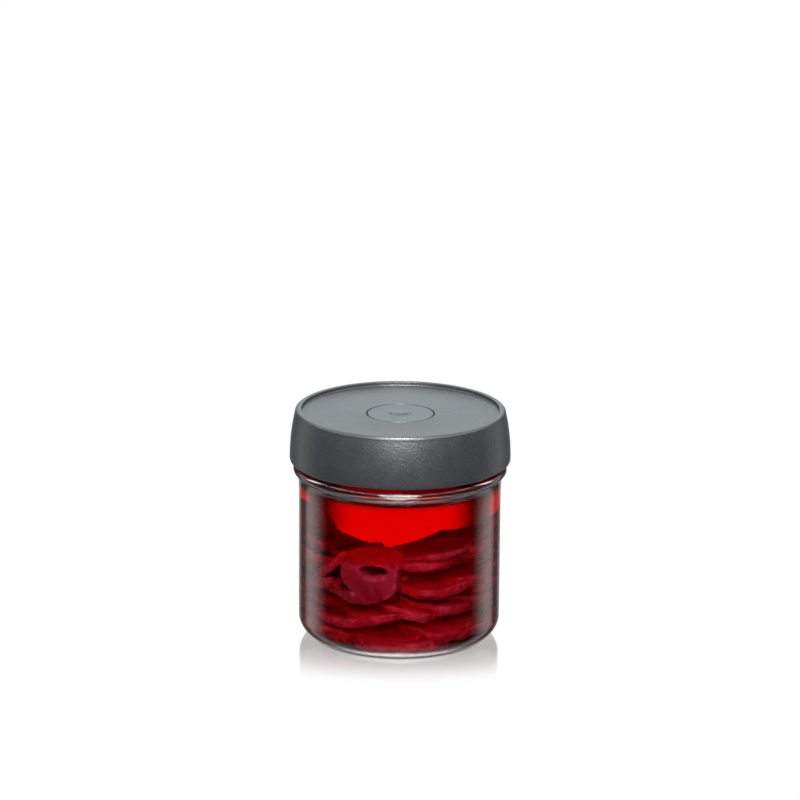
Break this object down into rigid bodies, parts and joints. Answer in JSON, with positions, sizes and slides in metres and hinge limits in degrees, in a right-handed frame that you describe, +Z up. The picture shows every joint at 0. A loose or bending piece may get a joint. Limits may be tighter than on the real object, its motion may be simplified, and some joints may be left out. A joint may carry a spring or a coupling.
{
  "type": "fermentation jar",
  "caption": "Squat wide-mouthed glass jar full of beet slices in brine, shut by a wide plastic lid with a sunk top and a round valve button.",
  "frame": {"origin": "on the floor under the jar's axis", "axes": "+Z up along the jar's axis, -Y towards the front of the picture"},
  "size_m": [0.092, 0.092, 0.0975],
  "materials": {
    "glass": "clear polished glass",
    "lid_plastic": "charcoal plastic, satin with a fine grain",
    "button_plastic": "charcoal plastic, satin",
    "beet": "wet dark red beet"
  },
  "bodies": {
    "root": {"glass_jar": "glass", "lid": "lid_plastic", "valve_button": "button_plastic", "beet_slices": "beet"}
  },
  "joints": []
}
